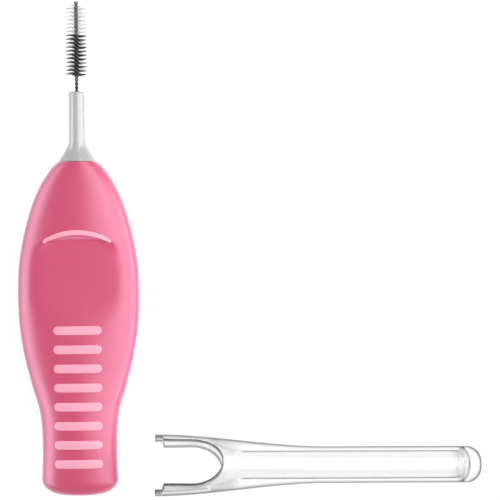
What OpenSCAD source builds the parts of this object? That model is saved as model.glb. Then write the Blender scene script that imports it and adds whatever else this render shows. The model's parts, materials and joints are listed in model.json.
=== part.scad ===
// Interdental brush with its travel cap, lying on its back.
// X runs across the handle, Y towards the tip of the brush and Z up, away from the table.
// The origin is the middle of the flat that the handle lies on.
// Most pieces are drawn upright, along a brush axis that is Z, with stations measured from the heel,
// and are then laid down by on_brush(). There the front of the handle faces -Y.

/* [Handle] */
// Length of the soft grip from its heel to the seam with the neck
grip_l = 46; // [40:0.1:56]
// Width of the grip at its widest
grip_w = 16.6; // [13:0.1:20]
// Thickness of the grip at its thickest
grip_t = 5.3; // [4.6:0.1:6.4]
// Width of the seam where the grip meets the neck
nose_w = 5.2; // [4.2:0.1:5.6]
// Thickness of the seam where the grip meets the neck
nose_t = 3.5; // [3:0.1:4]
// Length of the rounding at the heel
heel_round = 2.2; // [1:0.1:3]
// How far the rounding draws in each side of the heel
heel_draw = 3.1; // [1.5:0.1:3.4]
// How far the rounding draws in the front and back of the heel
heel_thin = 1.1; // [0.6:0.1:1.5]
// Depth of the flat that the handle lies on
rest_cut = 0.12; // [0.05:0.01:0.2]
// Station of the middle of that flat, which is the origin
rest_station = 12; // [11:0.1:14]

/* [Thumb recess] */
// Station of the upper edge of the recess
recess_top = 35.8; // [34:0.1:38]
// Length of the recess from its upper edge to where it fades out
recess_l = 17; // [14:0.1:20]
// Depth of the recess at the middle of its floor
recess_depth = 0.8; // [0.3:0.05:1]
// Run of the steep wall below the upper edge
recess_wall = 0.7; // [0.4:0.05:1.5]
// Width of the rim left at each side of the recess
recess_rim = 1.5; // [1:0.1:2.5]

/* [Raised marks] */
// Width of the arc at its middle
arc_w = 0.72; // [0.5:0.02:1]
// Distance between the two ends of the arc
arc_span = 9.4; // [7:0.1:11]
// Radius of the arc's upper edge
arc_r = 8.8; // [8:0.1:14]
// Number of bars down the handle
bar_count = 8; // [3:1:9]
// Distance from one bar to the next
bar_pitch = 2.62; // [2.2:0.02:2.8]
// Height of a bar along the handle
bar_h = 1.2; // [0.8:0.05:1.6]
// Length of a bar across the handle
bar_l = 6.6; // [4:0.1:7]
// Station of the middle of the lowest bar
bar_start = 4.4; // [4:0.1:5]
// How far the marks stand above the grip
mark_rise = 0.14; // [0.08:0.01:0.25]
// Height above the middle plane of the floor that the marks sit on
mark_floor = 1.35; // [1.2:0.05:1.6]

/* [Core] */
// Length of the neck from the seam to its end
neck_l = 9.6; // [7:0.1:14]
// Diameter of the round neck
neck_d = 2.2; // [2:0.05:2.6]
// Length of the flared collar between the seam and the round neck
collar_l = 2.8; // [1.8:0.1:4]
// Chamfer at the end of the neck
neck_chamfer = 0.18; // [0.1:0.02:0.3]
// Diameter of the rod that joins the neck and the tang
rod_d = 2; // [1.6:0.1:2.2]
// Distance from the seam to the near end of the tang
tang_setback = 6; // [4:0.1:8]
// Length of the tang
tang_l = 26; // [20:0.1:30]
// Width of the tang
tang_w = 7; // [5.5:0.1:8]
// Thickness of the tang
tang_t = 1.4; // [1:0.1:1.8]
// Number of holes that lock the grip to the tang
lock_count = 3; // [2:1:4]
// Diameter of a lock hole
lock_d = 3; // [2:0.1:4]

/* [Wire] */
// Diameter of the wire
wire_d = 0.24; // [0.18:0.01:0.28]
// Length along the brush of one full twist of the wire
twist_pitch = 1.06; // [0.9:0.02:1.4]
// Length of bare wire between the neck and the bristles
bare_l = 2.2; // [1:0.1:4]
// Length of wire beyond the last bristle
tip_l = 0.45; // [0.2:0.05:1]
// Length of twisted wire held in the neck
anchor_twist_l = 2.1; // [1.5:0.1:3]
// Length of the open loop at the folded end
loop_l = 2.4; // [1.8:0.1:3]
// Distance of each leg from the axis in the loop
loop_r = 0.3; // [0.2:0.01:0.4]
// Running clearance round the wire
wire_gap = 0.01; // [0.005:0.005:0.02]
// Clearance between the wire and its hole in the neck
hole_gap = 0.02; // [0.01:0.01:0.05]

/* [Bristles] */
// Diameter of the bristle field
bristle_d = 2.9; // [2.5:0.1:3]
// Length of the dark field
dark_l = 5.75; // [4:0.05:7]
// Length of the pale field
pale_l = 4.05; // [3:0.05:6]
// Thickness of a filament
filament_t = 0.08; // [0.06:0.01:0.1]
// Filaments in one full twist
filaments_per_twist = 21; // [18:1:22]
// Half width of the band of filaments that the wire clamps
band_r = 0.2; // [0.17:0.01:0.24]

/* [Travel cap] */
// Length of the cap
cap_l = 45; // [40:0.1:50]
// Outer diameter of the straight tube
cap_d = 5.04; // [4.8:0.02:6]
// Outer diameter at the mouth
mouth_d = 8.5; // [8.2:0.1:9]
// Length over which the tube flares to the mouth
flare_l = 23.5; // [18:0.1:28]
// Gap all round between the bristles and the bore
bristle_gap = 0.5; // [0.3:0.05:0.6]
// Thickness of the closed end
end_wall = 1.65; // [1:0.05:2]
// Rounding of the closed end outside
end_round = 1.7; // [1:0.05:2]
// Rounding of the bottom of the bore
bore_round = 1.7; // [0.8:0.05:1.75]
// Width of the dimple in the closed end
dimple_d = 1.2; // [0.8:0.1:1.6]
// Depth of the dimple in the closed end
dimple_h = 0.3; // [0.1:0.05:0.4]
// Distance from the mouth to where the straight bore begins
bore_start = 10.9; // [10.4:0.1:12]
// Length of the funnel between the bore and the fork
funnel_l = 3; // [2.6:0.1:4]
// Thickness of the fork's wall
fork_wall = 0.55; // [0.4:0.05:0.7]
// Depth of the notches in the fork
notch_l = 9.2; // [8:0.1:10]
// Width of the notches in the fork
notch_w = 5.9; // [5:0.1:6.2]
// Length of the notches' rounded roots
notch_root_l = 4.2; // [3:0.1:5]
// Length of the narrow tab at the end of each wing
tab_l = 1.1; // [0.5:0.1:1.4]
// How far each side of a wing steps in at the tab
tab_step = 0.7; // [0.3:0.05:0.9]

/* [Where the cap lies] */
// Distance from the brush's axis to the mouth of the cap
cap_x = 10.4; // [10:0.1:30]
// Station of the mouth of the cap
cap_station = 4.1; // [0:0.1:20]
// Roll of the cap about its own axis
cap_roll = 15; // [0:1:20]
// Turn of the cap on the table, closed end towards the heel
cap_yaw = 0.5; // [0:0.1:10]

/* [Hidden] */
$fn = 64;

// Overrun of every cut past the faces it opens
over = 1;
// Sides and rings of the faceted skins
skin_sides = 56;
skin_steps = 38;
collar_steps = 8;
tube_sides = 6;
// Rings of wire in one twist, and round the fold
twist_rings = 8;
fold_rings = 8;
flare_steps = 14;
root_steps = 40;
// Fullness of the grip's cross-section, where 2 is an ellipse
section_power = 2.05;
// Fullness of the recess's upper edge
recess_power = 3.4;
// Curve of the collar between the seam and the neck
collar_power = 1.2;

// Half width of the grip, as shares of its length and of half its width
width_shares = [[0.111, 0.612], [0.18, 0.616], [0.231, 0.637], [0.269, 0.678], [0.317, 0.76],
    [0.368, 0.836], [0.422, 0.907], [0.494, 0.97], [0.552, 0.995], [0.621, 1], [0.697, 0.977],
    [0.783, 0.893], [0.872, 0.752], [0.935, 0.596], [0.968, 0.477], [0.985, 0.405]];
heel_width_share = 0.626;
// Half thickness of the grip, as shares of its length and of half its thickness
thick_shares = [[0.13, 0.93], [0.26, 1], [0.45, 1], [0.78, 1], [0.87, 0.92], [0.935, 0.8]];
heel_thick_share = 0.86;
// Where the recess's floor has reached its full depth, and the soft blend at its sides
floor_share = 0.55;
blend_share = 0.3;
// Part of the recess's length over which its upper edge curves across
mid_share = 0.32;
// Part of each filament's step that the strand's root takes, and the size of its tip
root_share = 0.7;
tip_share = 0.8;
// How much narrower the arc is at its ends, as a share of the width at its middle
arc_end_share = 0.75;

neck_r = neck_d / 2;
wire_r = wire_d / 2;
cap_r = cap_d / 2;
mouth_r = mouth_d / 2;
bristle_r = bristle_d / 2;
bore_r = bristle_r + bristle_gap;
rest_height = grip_t / 2 - rest_cut;
neck_end = grip_l + neck_l;
dark_start = neck_end + bare_l;
pale_start = dark_start + dark_l;
pale_end = pale_start + pale_l;
tip_end = pale_end + tip_l;

// A smooth curve through points that are sorted by their first number
function steepness(p, i) =
    let(a = max(i - 1, 0), b = min(i + 1, len(p) - 1))
    (p[b][1] - p[a][1]) / (p[b][0] - p[a][0]);
function hermite(u, h, a, b, ma, mb) =
    (2 * u ^ 3 - 3 * u ^ 2 + 1) * a + (u ^ 3 - 2 * u ^ 2 + u) * h * ma
    + (3 * u ^ 2 - 2 * u ^ 3) * b + (u ^ 3 - u ^ 2) * h * mb;
function along(p, s) =
    let(i = min(len([for (q = p) if (q[0] <= s) 1]), len(p) - 1) - 1, h = p[i + 1][0] - p[i][0])
    hermite((s - p[i][0]) / h, h, p[i][1], p[i + 1][1], steepness(p, i), steepness(p, i + 1));
function smooth(u) = let(c = min(max(u, 0), 1)) c * c * (3 - 2 * c);

// Half width and half thickness of the grip at a station
function scaled(shares, size) = [for (p = shares) [p[0] * grip_l, p[1] * size / 2]];
width_curve = concat([[heel_round, heel_width_share * grip_w / 2]],
    scaled(width_shares, grip_w), [[grip_l, nose_w / 2]]);
thick_curve = concat([[heel_round, heel_thick_share * grip_t / 2]],
    scaled(thick_shares, grip_t), [[grip_l, nose_t / 2]]);
function drawn_in(s, draw) = s >= heel_round ? 0 : draw * (1 - sqrt(1 - (1 - s / heel_round) ^ 2));
function half_width(s) = along(width_curve, max(s, heel_round)) - drawn_in(s, heel_draw);
function half_thick(s) = along(thick_curve, max(s, heel_round)) - drawn_in(s, heel_thin);

// Depth of the thumb recess below a point of the plain skin, at x across and y out from the middle
recess_end = recess_top - recess_l;
recess_mid = recess_top - mid_share * recess_l;
function recess_reach(x, s) =
    let(a = abs(x) / (half_width(s) - recess_rim), b = max(s - recess_mid, 0) / (recess_top - recess_mid))
    (a ^ recess_power + b ^ recess_power) ^ (1 / recess_power);
function upper_gate(x, s) =
    smooth((1 - recess_reach(x, s)) * (recess_top - recess_mid) / recess_wall);
function lower_gate(s) = smooth((s - recess_end) / (floor_share * recess_l));
function floor_height(s) = grip_t / 2 - recess_depth * lower_gate(s);
function softened(d, k) = d <= -k ? 0 : d >= k ? d : (d + k) ^ 2 / (4 * k);
function dent(x, y, s) =
    softened(y - floor_height(s), blend_share * recess_depth)
    * (s > recess_mid ? upper_gate(x, s) : 1) * lower_gate(s);

// One ring of the grip's skin, grown outward, with or without the recess
function rounded(c, power) = sign(c) * abs(c) ^ (2 / power);
function skin_point(s, a, grow, recessed) =
    let(
        x = (half_width(s) + grow) * rounded(cos(a), section_power),
        y = (half_thick(s) + grow) * rounded(sin(a), section_power)
    )
    [x, y - (recessed ? sign(y) * dent(x, abs(y) - grow, s) : 0), s];
function skin_ring(s, grow, recessed) =
    [for (k = [0:skin_sides - 1]) skin_point(s, 360 * k / skin_sides, grow, recessed)];

// A closed skin of triangles through rings that all have the same number of points
function wall_faces(rings, sides) = [for (i = [0:rings - 2], k = [0:sides - 1])
    let(a = i * sides + k, b = i * sides + (k + 1) % sides)
    each [[a, a + sides, b], [b, a + sides, b + sides]]];
function end_faces(rings, sides) = [for (k = [1:sides - 2])
    let(last = (rings - 1) * sides)
    each [[0, k, k + 1], [last, last + k + 1, last + k]]];
module loft(rings) {
    sides = len(rings[0]);
    polyhedron(
        [for (r = rings) each r],
        concat(wall_faces(len(rings), sides), end_faces(len(rings), sides)));
}

// Stations of the skin, closer together at the heel and at the nose
function eased(u) = (1 - cos(180 * u)) / 2;
function skin_station(i) = grip_l * eased(i / skin_steps);
module grip_skin(grow, recessed) {
    loft([for (i = [0:skin_steps]) skin_ring(skin_station(i), grow, recessed)]);
}

// Lays the upright brush down, front up, with the flat of its back on the table
module on_brush() {
    translate([0, -rest_station, rest_height])
        rotate([-90, 0, 0])
            children();
}

// Carries a shape drawn flat, X across and Y along the handle, to the front of the upright brush
module on_front() {
    rotate([90, 0, 0])
        children();
}

module table_side() {
    translate([-grip_w, rest_height, -over])
        cube([2 * grip_w, grip_t, grip_l + 2 * over]);
}

// Tang, with the rod that joins it to the neck
tang_end = grip_l - tang_setback;
tang_corner = tang_w / 4;
module tang_outline() {
    for (side = [-1, 1], end = [-1, 1])
        translate([side * (tang_w / 2 - tang_corner), tang_end - tang_l / 2 + end * (tang_l / 2 - tang_corner)])
            circle(tang_corner);
    translate([tang_corner - tang_w / 2, tang_end - tang_l])
        square([tang_w - 2 * tang_corner, tang_l]);
    translate([-tang_w / 2, tang_end - tang_l + tang_corner])
        square([tang_w, tang_l - 2 * tang_corner]);
}
module lock_holes() {
    for (i = [0:lock_count - 1])
        translate([0, tang_end - tang_l * (i + 1) / (lock_count + 1)])
            circle(d = lock_d);
}
module tang() {
    on_front()
        linear_extrude(tang_t, center = true)
            difference() {
                tang_outline();
                lock_holes();
            }
}
module rod(extra) {
    translate([0, 0, tang_end - rod_d])
        cylinder(d = rod_d, h = grip_l - tang_end + rod_d + extra);
}

// Collar from the oval seam to the rod, which it meets inside the round neck
rod_r = rod_d / 2;
function collar_point(u, a) =
    let(
        blend = (1 - u) ^ collar_power,
        power = 2 + (section_power - 2) * (1 - u),
        wide = rod_r + (nose_w / 2 - rod_r) * blend,
        deep = rod_r + (nose_t / 2 - rod_r) * blend
    )
    [wide * rounded(cos(a), power), deep * rounded(sin(a), power), grip_l + u * collar_l];
module collar() {
    loft([for (i = [0:collar_steps])
        [for (k = [0:skin_sides - 1]) collar_point(i / collar_steps, 360 * k / skin_sides)]]);
}

// Round neck, from inside the collar to its chamfered end
module round_neck() {
    rotate_extrude()
        polygon([
            [0, grip_l + collar_l / 2], [neck_r, grip_l + collar_l / 2],
            [neck_r, neck_end - neck_chamfer], [neck_r - neck_chamfer, neck_end], [0, neck_end]]);
}

// Hole for the twisted wire, and the chamber round its folded end
hole_r = wire_d + wire_gap + hole_gap;
chamber_r = loop_r + wire_r + hole_gap;
fold_station = neck_end - anchor_twist_l - loop_l;
module wire_hole() {
    translate([0, 0, fold_station])
        cylinder(r = hole_r, h = neck_end - fold_station + over);
    translate([0, 0, fold_station - chamber_r])
        cylinder(r = chamber_r, h = loop_l + chamber_r);
}

module neck_core() {
    color("whitesmoke")
        on_brush()
            difference() {
                union() {
                    tang();
                    rod(collar_l);
                    collar();
                    round_neck();
                }
                wire_hole();
            }
}

// Arc that bounds the recess: a crescent between two circles
arc_top = recess_top + arc_w;
arc_sag = arc_r - sqrt(arc_r ^ 2 - (arc_span / 2) ^ 2);
inner_sag = arc_sag - arc_w * (1 - arc_end_share);
inner_r = (inner_sag ^ 2 + (arc_span / 2) ^ 2) / (2 * inner_sag);
module arc_outline() {
    intersection() {
        difference() {
            translate([0, arc_top - arc_r])
                circle(arc_r);
            translate([0, arc_top - arc_w - inner_r])
                circle(inner_r);
        }
        translate([-arc_span / 2, arc_top - 2 * arc_sag])
            square([arc_span, 2 * arc_sag + over]);
    }
}
module arc_block() {
    on_front()
        translate([0, 0, mark_floor])
            linear_extrude(grip_t)
                arc_outline();
}

// Bars down the front of the handle, with round ends
module bar_outline() {
    translate([bar_h / 2 - bar_l / 2, -bar_h / 2])
        square([bar_l - bar_h, bar_h]);
    for (side = [-1, 1])
        translate([side * (bar_l - bar_h) / 2, 0])
            circle(d = bar_h);
}
module bar_block() {
    on_front()
        translate([0, 0, mark_floor])
            linear_extrude(grip_t)
                for (i = [0:bar_count - 1])
                    translate([0, bar_start + i * bar_pitch])
                        bar_outline();
}

module grip() {
    color("#e8608c")
        on_brush()
            difference() {
                grip_skin(0, true);
                tang();
                rod(over);
                arc_block();
                mirror([0, 1, 0])
                    arc_block();
                bar_block();
                table_side();
            }
}

module front_arc() {
    color("#ffb0c8")
        on_brush()
            intersection() {
                grip_skin(mark_rise, false);
                arc_block();
            }
}

module back_arc() {
    color("#ffb0c8")
        on_brush()
            difference() {
                intersection() {
                    grip_skin(mark_rise, false);
                    mirror([0, 1, 0])
                        arc_block();
                }
                table_side();
            }
}

module grip_bars() {
    color("#ffb0cc")
        on_brush()
            intersection() {
                grip_skin(mark_rise, true);
                bar_block();
            }
}

// Twist angle of the wire and its filaments at a station: a left-hand twist
function twist(s) = -360 * (s - dark_start) / twist_pitch;

// Distance of a leg from the axis: closed up where bare, apart where it clamps filaments or loops
twist_start = neck_end - anchor_twist_l;
close_r = wire_r + wire_gap;
clamp_r = close_r + filament_t / 2;
function leg_r(s) =
    s < twist_start ? close_r + (loop_r - close_r) * smooth(2 * (twist_start - s) / loop_l)
    : close_r + (clamp_r - close_r) * smooth((s - dark_start) / twist_pitch + 1);

// One ring of the wire, in the plane of an outward and a sideways direction
function tube_ring(centre, outward, sideways) = [for (k = [0:tube_sides - 1])
    let(a = 360 * k / tube_sides)
    centre + wire_r * (cos(a) * outward + sin(a) * sideways)];
function unit(v) = v / norm(v);
function leg_ring(s, side, way) =
    let(
        turned = s < twist_start ? twist(twist_start) : twist(s),
        slope = s < twist_start ? 0 : -leg_r(s) * 2 * PI / twist_pitch,
        outward = [cos(turned), sin(turned), 0] * side,
        around = [-sin(turned), cos(turned), 0] * side,
        travel = unit([0, 0, 1] + slope * around) * way
    )
    tube_ring(leg_r(s) * outward + [0, 0, s], outward, cross(travel, outward));
function fold_ring(a) =
    let(
        turned = twist(twist_start),
        outward = [cos(turned), sin(turned), 0] * cos(a) - [0, 0, 1] * sin(a),
        sideways = cross([0, 0, -1], [cos(turned), sin(turned), 0])
    )
    tube_ring(loop_r * outward + [0, 0, fold_station], outward, sideways);

// Stations of a leg from the tip down to the fold
leg_steps = ceil(twist_rings * (tip_end - twist_start) / twist_pitch);
loop_steps = twist_rings;
leg_stations = concat(
    [for (i = [0:leg_steps]) tip_end - (tip_end - twist_start) * i / leg_steps],
    [for (i = [1:loop_steps]) twist_start - loop_l * i / loop_steps]);
module stem_wire() {
    last = len(leg_stations) - 1;
    down = [for (i = [0:last]) leg_ring(leg_stations[i], 1, -1)];
    fold = [for (i = [1:fold_rings - 1]) fold_ring(180 * i / fold_rings)];
    up = [for (i = [0:last]) leg_ring(leg_stations[last - i], -1, 1)];
    color("dimgray")
        on_brush()
            loft(concat(down, fold, up));
}

// A band of filaments that twists with the wire. Strands leave both of its edges, one pair a step.
filament_step = twist_pitch / filaments_per_twist;
function band_point(s, x, y) =
    let(a = twist(s) + 90)
    [x * cos(a) - y * sin(a), x * sin(a) + y * cos(a), s];
function band_ring(s) = let(h = filament_t / 2)
    [band_point(s, band_r, -h), band_point(s, band_r, h), band_point(s, -band_r, h), band_point(s, -band_r, -h)];
function middle(p) = (p[0] + p[1] + p[2] + p[3]) / 4;
function strand_tip(root) =
    let(
        centre = middle(root),
        outward = unit([centre[0], centre[1], 0]),
        end = [0, 0, centre[2]] + bristle_r * outward
    )
    [for (p = root) end + tip_share * (p - centre)];

// Points of one step: two rings of the band, then the tips of its two strands
function step_points(s) =
    let(low = band_ring(s), high = band_ring(s + root_share * filament_step))
    concat(low, high,
        strand_tip([low[0], low[1], high[1], high[0]]), strand_tip([low[2], low[3], high[3], high[2]]));
function quad(a, b, c, d) = [[a, b, c], [a, c, d]];
function strand_faces(a, b, c, d, t) = concat(
    quad(a, t, t + 1, b), quad(b, t + 1, t + 2, c), quad(c, t + 2, t + 3, d), quad(d, t + 3, t, a),
    quad(t, t + 3, t + 2, t + 1));
function flank_faces(n, m) = concat(quad(n + 1, m + 1, m + 2, n + 2), quad(n + 3, m + 3, m, n));
function edge_faces(n, m) = concat(quad(n, m, m + 1, n + 1), quad(n + 2, m + 2, m + 3, n + 3));
function step_faces(n) = concat(
    flank_faces(n, n + 4),
    strand_faces(n, n + 1, n + 5, n + 4, n + 8),
    strand_faces(n + 2, n + 3, n + 7, n + 6, n + 12));
module bristle_field(start, length) {
    count = floor(length / filament_step);
    size = 16;
    polyhedron(
        [for (i = [0:count - 1]) each step_points(start + i * filament_step)],
        concat(
            [for (i = [0:count - 1]) each step_faces(i * size)],
            [for (i = [0:count - 2]) each flank_faces(i * size + 4, (i + 1) * size)],
            [for (i = [0:count - 2]) each edge_faces(i * size + 4, (i + 1) * size)],
            quad(0, 1, 2, 3),
            quad(count * size - 9, count * size - 10, count * size - 11, count * size - 12)));
}

module dark_bristles() {
    color("#1c1a1c")
        on_brush()
            bristle_field(dark_start, dark_l);
}

module pale_bristles() {
    color("#d8d8d8")
        on_brush()
            bristle_field(pale_start, pale_l);
}

// Cap, upright with its mouth at the bottom. Its notches face +X and -X.
function flare(z) =
    let(u = min(z / flare_l, 1))
    cap_r + (mouth_r - cap_r) * (1 - smooth(u));
fork_end = bore_start - funnel_l;
module cap_outline() {
    polygon(concat(
        [[0, 0]],
        [for (i = [0:flare_steps]) let(z = flare_l * i / flare_steps) [flare(z), z]],
        [[cap_r, cap_l - end_round], [0, cap_l - end_round]]));
    translate([0, cap_l - end_round])
        intersection() {
            union() {
                translate([cap_r - end_round, 0])
                    circle(end_round);
                square([cap_r - end_round, end_round]);
            }
            square([cap_r, end_round]);
        }
}
module bore_outline() {
    depth = cap_l - end_wall;
    polygon(concat(
        [[0, -over], [mouth_r - fork_wall, -over]],
        [for (i = [0:flare_steps]) let(z = fork_end * i / flare_steps) [flare(z) - fork_wall, z]],
        [[bore_r, bore_start], [bore_r, depth - bore_round], [0, depth - bore_round]]));
    translate([0, depth - bore_round])
        intersection() {
            union() {
                translate([bore_r - bore_round, 0])
                    circle(bore_round);
                square([bore_r - bore_round, bore_round]);
            }
            square([bore_r, bore_round]);
        }
}
module notch_outline() {
    shoulder = notch_l - notch_root_l;
    polygon(concat(
        [[-notch_w / 2, -over], [notch_w / 2, -over]],
        [for (i = [0:root_steps]) let(a = 180 * i / root_steps)
            [notch_w / 2 * cos(a), shoulder + notch_root_l * sin(a)]]));
    translate([-notch_w / 2 - tab_step, -over])
        square([notch_w + 2 * tab_step, tab_l + over]);
}
module cap_body() {
    difference() {
        rotate_extrude()
            cap_outline();
        rotate_extrude()
            bore_outline();
        rotate([90, 0, 90])
            linear_extrude(2 * mouth_d, center = true)
                notch_outline();
        translate([0, 0, cap_l - dimple_h])
            cylinder(d = dimple_d, h = dimple_h + over);
    }
}

// The cap lies on the tube's far end and on the flare at the root of the notch
cap_tilt = atan((flare(notch_l) - cap_r) / (cap_l - end_round - notch_l));
cap_height = cap_r / cos(cap_tilt) + (cap_l - end_round) * sin(cap_tilt);
module travel_cap() {
    color("white", 0.3)
        translate([cap_x, cap_station - rest_station, cap_height])
            rotate([0, 0, -cap_yaw])
                rotate([0, cap_tilt, 0])
                    rotate([-cap_roll, 0, 0])
                        rotate([0, 90, 0])
                            cap_body();
}

neck_core();
grip();
front_arc();
back_arc();
grip_bars();
stem_wire();
dark_bristles();
pale_bristles();
travel_cap();
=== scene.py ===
import json
import math

import bmesh
import bpy
import numpy as np
from mathutils import Matrix, Vector


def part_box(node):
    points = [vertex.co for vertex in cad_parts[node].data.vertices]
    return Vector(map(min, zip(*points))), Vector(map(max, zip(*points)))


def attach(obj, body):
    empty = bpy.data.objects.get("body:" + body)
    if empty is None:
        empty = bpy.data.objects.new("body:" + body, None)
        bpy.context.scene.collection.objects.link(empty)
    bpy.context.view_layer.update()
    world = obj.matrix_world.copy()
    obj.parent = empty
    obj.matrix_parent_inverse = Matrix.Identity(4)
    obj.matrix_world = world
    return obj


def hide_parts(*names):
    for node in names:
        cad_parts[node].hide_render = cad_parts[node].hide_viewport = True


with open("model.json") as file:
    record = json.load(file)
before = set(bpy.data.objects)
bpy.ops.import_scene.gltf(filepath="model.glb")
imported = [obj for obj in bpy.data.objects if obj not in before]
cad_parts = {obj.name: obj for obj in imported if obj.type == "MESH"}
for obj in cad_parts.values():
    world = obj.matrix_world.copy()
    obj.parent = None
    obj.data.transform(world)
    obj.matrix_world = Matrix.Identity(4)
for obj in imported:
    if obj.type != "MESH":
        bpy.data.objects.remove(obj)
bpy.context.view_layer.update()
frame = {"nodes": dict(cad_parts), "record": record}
mm = 0.001
print("frame loaded with", len(frame["nodes"]), "nodes")


# Small tools

# Turns an sRGB hex colour into the linear values that Blender mixes
def linear(hexCode):
    parts = [int(hexCode[i:i + 2], 16) / 255 for i in (1, 3, 5)]
    return [c / 12.92 if c <= 0.04045 else ((c + 0.055) / 1.055) ** 2.4 for c in parts] + [1.0]


# Adds a node to a tree, with its options or values and the sockets that feed it
def addNode(tree, kind, settings=None, links=None):
    node = tree.nodes.new(kind)
    for key, value in (settings or {}).items():
        if isinstance(key, str) and hasattr(node, key):
            setattr(node, key, value)
        else:
            node.inputs[key].default_value = value
    for key, socket in (links or {}).items():
        tree.links.new(socket, node.inputs[key])
    return node


def newMaterial(name):
    material = bpy.data.materials.new(name)
    material.use_nodes = True
    material.node_tree.nodes.clear()
    return material, material.node_tree


def addObject(name, data):
    made = bpy.data.objects.new(name, data)
    bpy.context.scene.collection.objects.link(made)
    return made


# Gives the plain mesh that an object's curve or modifiers make, and removes the object
def plainMesh(maker):
    graph = bpy.context.evaluated_depsgraph_get()
    mesh = bpy.data.meshes.new_from_object(maker.evaluated_get(graph), depsgraph=graph)
    bpy.data.objects.remove(maker)
    return mesh


# Puts a finished mesh in the scene, on its body and in place of its CAD nodes
def addPiece(name, mesh, material, body, nodes):
    if material:
        mesh.materials.clear()
        mesh.materials.append(material)
    piece = addObject(name, mesh)
    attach(piece, body)
    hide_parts(*nodes)
    print("made", name, "with", len(mesh.polygons), "faces")
    return piece


# Merges what touches, turns every face outwards and smooths all but the real edges
def cleanMesh(mesh, edgeAngle, merge=0.0002):
    work = bmesh.new()
    work.from_mesh(mesh)
    bmesh.ops.remove_doubles(work, verts=work.verts, dist=merge * mm)
    bmesh.ops.recalc_face_normals(work, faces=work.faces)
    work.to_mesh(mesh)
    work.free()
    mesh.shade_smooth()
    mesh.set_sharp_from_angle(angle=math.radians(edgeAngle))
    return mesh


def meshFrom(name, points, faces):
    mesh = bpy.data.meshes.new(name)
    mesh.from_pydata([[c * mm for c in p] for p in points], [], faces)
    return mesh


# A closed skin through rings that all have the same number of points
def loftMesh(name, rings):
    sides = len(rings[0])
    points = [p for ring in rings for p in ring]
    faces = []
    for i in range(len(rings) - 1):
        for k in range(sides):
            a, b = i * sides + k, i * sides + (k + 1) % sides
            faces.append((a, b, b + sides, a + sides))
    for ring, first in ((rings[0], 0), (rings[-1], (len(rings) - 1) * sides)):
        points.append(np.mean(ring, axis=0))
        for k in range(sides):
            faces.append((first + k, first + (k + 1) % sides, len(points) - 1))
    return meshFrom(name, points, faces)


def smoothStep(u):
    u = np.clip(u, 0, 1)
    return u * u * (3 - 2 * u)


# A smooth curve through points that are sorted by their first number
def smoothCurve(points, s):
    i = max(0, min(sum(p[0] <= s for p in points) - 1, len(points) - 2))
    steep = []
    for k in (i, i + 1):
        a, b = points[max(k - 1, 0)], points[min(k + 1, len(points) - 1)]
        steep.append((b[1] - a[1]) / (b[0] - a[0]))
    h = points[i + 1][0] - points[i][0]
    u = (s - points[i][0]) / h
    return ((2 * u**3 - 3 * u**2 + 1) * points[i][1] + (u**3 - 2 * u**2 + u) * h * steep[0]
            + (3 * u**2 - 2 * u**3) * points[i + 1][1] + (u**3 - u**2) * h * steep[1])


# Materials

# Injection-moulded plastic or elastomer: an even body colour with faint cloudy drift from the melt, a
# fine satin grain from the tool's surface, drawn a few times as coarse as it is, and gloss that wanders
def mouldedPlastic(name, look):
    material, tree = newMaterial(name)
    place = addNode(tree, "ShaderNodeTexCoord")
    cloud = addNode(tree, "ShaderNodeTexNoise", {"Scale": 1 / (look["drift"] * mm), "Detail": 3.0},
                    {"Vector": place.outputs["Object"]})
    grain = addNode(tree, "ShaderNodeTexNoise", {"Scale": 1 / (look["grain"] * mm), "Detail": 4.0},
                    {"Vector": place.outputs["Object"]})
    colour = addNode(tree, "ShaderNodeMix", {"data_type": "RGBA", 6: linear(look["colour"]),
                     7: linear(look["cloudColour"])}, {0: cloud.outputs["Fac"]})
    gloss = addNode(tree, "ShaderNodeMapRange", {"From Min": 0.3, "From Max": 0.7,  # where noise mostly lies
                    "To Min": look["roughness"] - look["roughnessSpread"],
                    "To Max": look["roughness"] + look["roughnessSpread"]}, {"Value": cloud.outputs["Fac"]})
    bump = addNode(tree, "ShaderNodeBump", {"Strength": 1.0, "Distance": look["grainHeight"] * mm},
                   {"Height": grain.outputs["Fac"]})
    surface = addNode(tree, "ShaderNodeBsdfPrincipled", {"IOR": look["ior"],
                      "Specular Tint": linear(look["glossColour"]), "Subsurface Weight": look["softness"],
                      "Subsurface Radius": [1.0, 0.5, 0.4], "Subsurface Scale": look["depth"] * mm,
                      "Sheen Weight": look["sheen"], "Sheen Roughness": 0.5,  # softens its pale rim
                      "Sheen Tint": linear(look["sheenColour"])},
                      {"Base Color": colour.outputs[2], "Roughness": gloss.outputs["Result"],
                       "Normal": bump.outputs["Normal"]})
    addNode(tree, "ShaderNodeOutputMaterial", {}, {"Surface": surface.outputs["BSDF"]})
    return material


# Thermoplastic elastomer overmould in pink: satin, slightly soft to the light. Its IOR is set above the
# real 1.5, which matches how strongly it takes the light at its sides
pinkElastomer = mouldedPlastic("pinkElastomer", {
    "colour": "#CB456A", "cloudColour": "#C54063", "drift": 9.0, "grain": 0.16, "grainHeight": 0.006,
    "roughness": 0.34, "roughnessSpread": 0.04, "ior": 1.9, "softness": 0.08, "depth": 0.5,
    "sheen": 1.0, "sheenColour": "#FFE8FF", "glossColour": "#FFE6FF"})

# The same elastomer in a paler pink, for the second shot of raised marks
palePinkElastomer = mouldedPlastic("palePinkElastomer", {
    "colour": "#F1A9BD", "cloudColour": "#EBA0B4", "drift": 6.0, "grain": 0.16, "grainHeight": 0.005,
    "roughness": 0.4, "roughnessSpread": 0.04, "ior": 1.5, "softness": 0.08, "depth": 0.4,
    "sheen": 0.2, "sheenColour": "#FFE4EE", "glossColour": "#FFE8FF"})

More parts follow.
